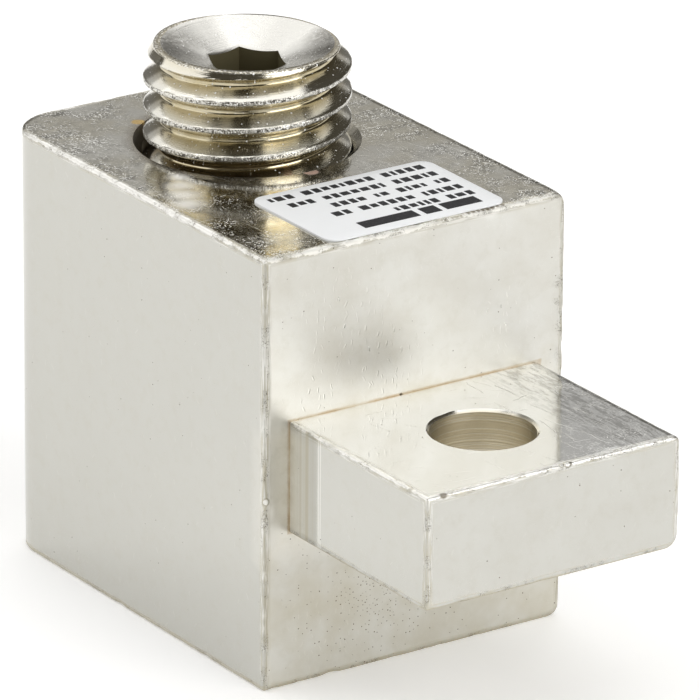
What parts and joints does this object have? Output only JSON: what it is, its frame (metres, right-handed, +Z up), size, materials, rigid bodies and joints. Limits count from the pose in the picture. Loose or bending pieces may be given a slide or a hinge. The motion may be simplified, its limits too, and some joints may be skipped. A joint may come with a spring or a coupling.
{
  "type": "screw terminal clamp",
  "caption": "Tinned metal block that clamps one cable in a blind bore under a hex-socket screw, with a drilled tongue that bolts to a switch terminal.",
  "frame": {"origin": "middle of the underside, halfway along the block and its tongue together", "axes": "+Z up along the clamping screw, +Y out of the cable bore, -Y along the tongue, +X across the block"},
  "size_m": [0.0306, 0.0612, 0.0475],
  "materials": {
    "tinned_block": "dull tin plate on a sawn and tumbled block, with fine scratches",
    "plated_screw": "bright nickel-coloured plate, with brass showing faintly in the thread",
    "label_film": "white film printed with plain bars"
  },
  "bodies": {
    "block": {"terminal_body": "tinned_block", "rating_label": "label_film"},
    "screw": {"clamp_screw": "plated_screw"}
  },
  "joints": [
    {"name": "clamp_screw_travel", "type": "slide", "parent": "block", "child": "screw", "axis": [0, 0, 1], "range_m": [-0.016, 0.007]}
  ]
}
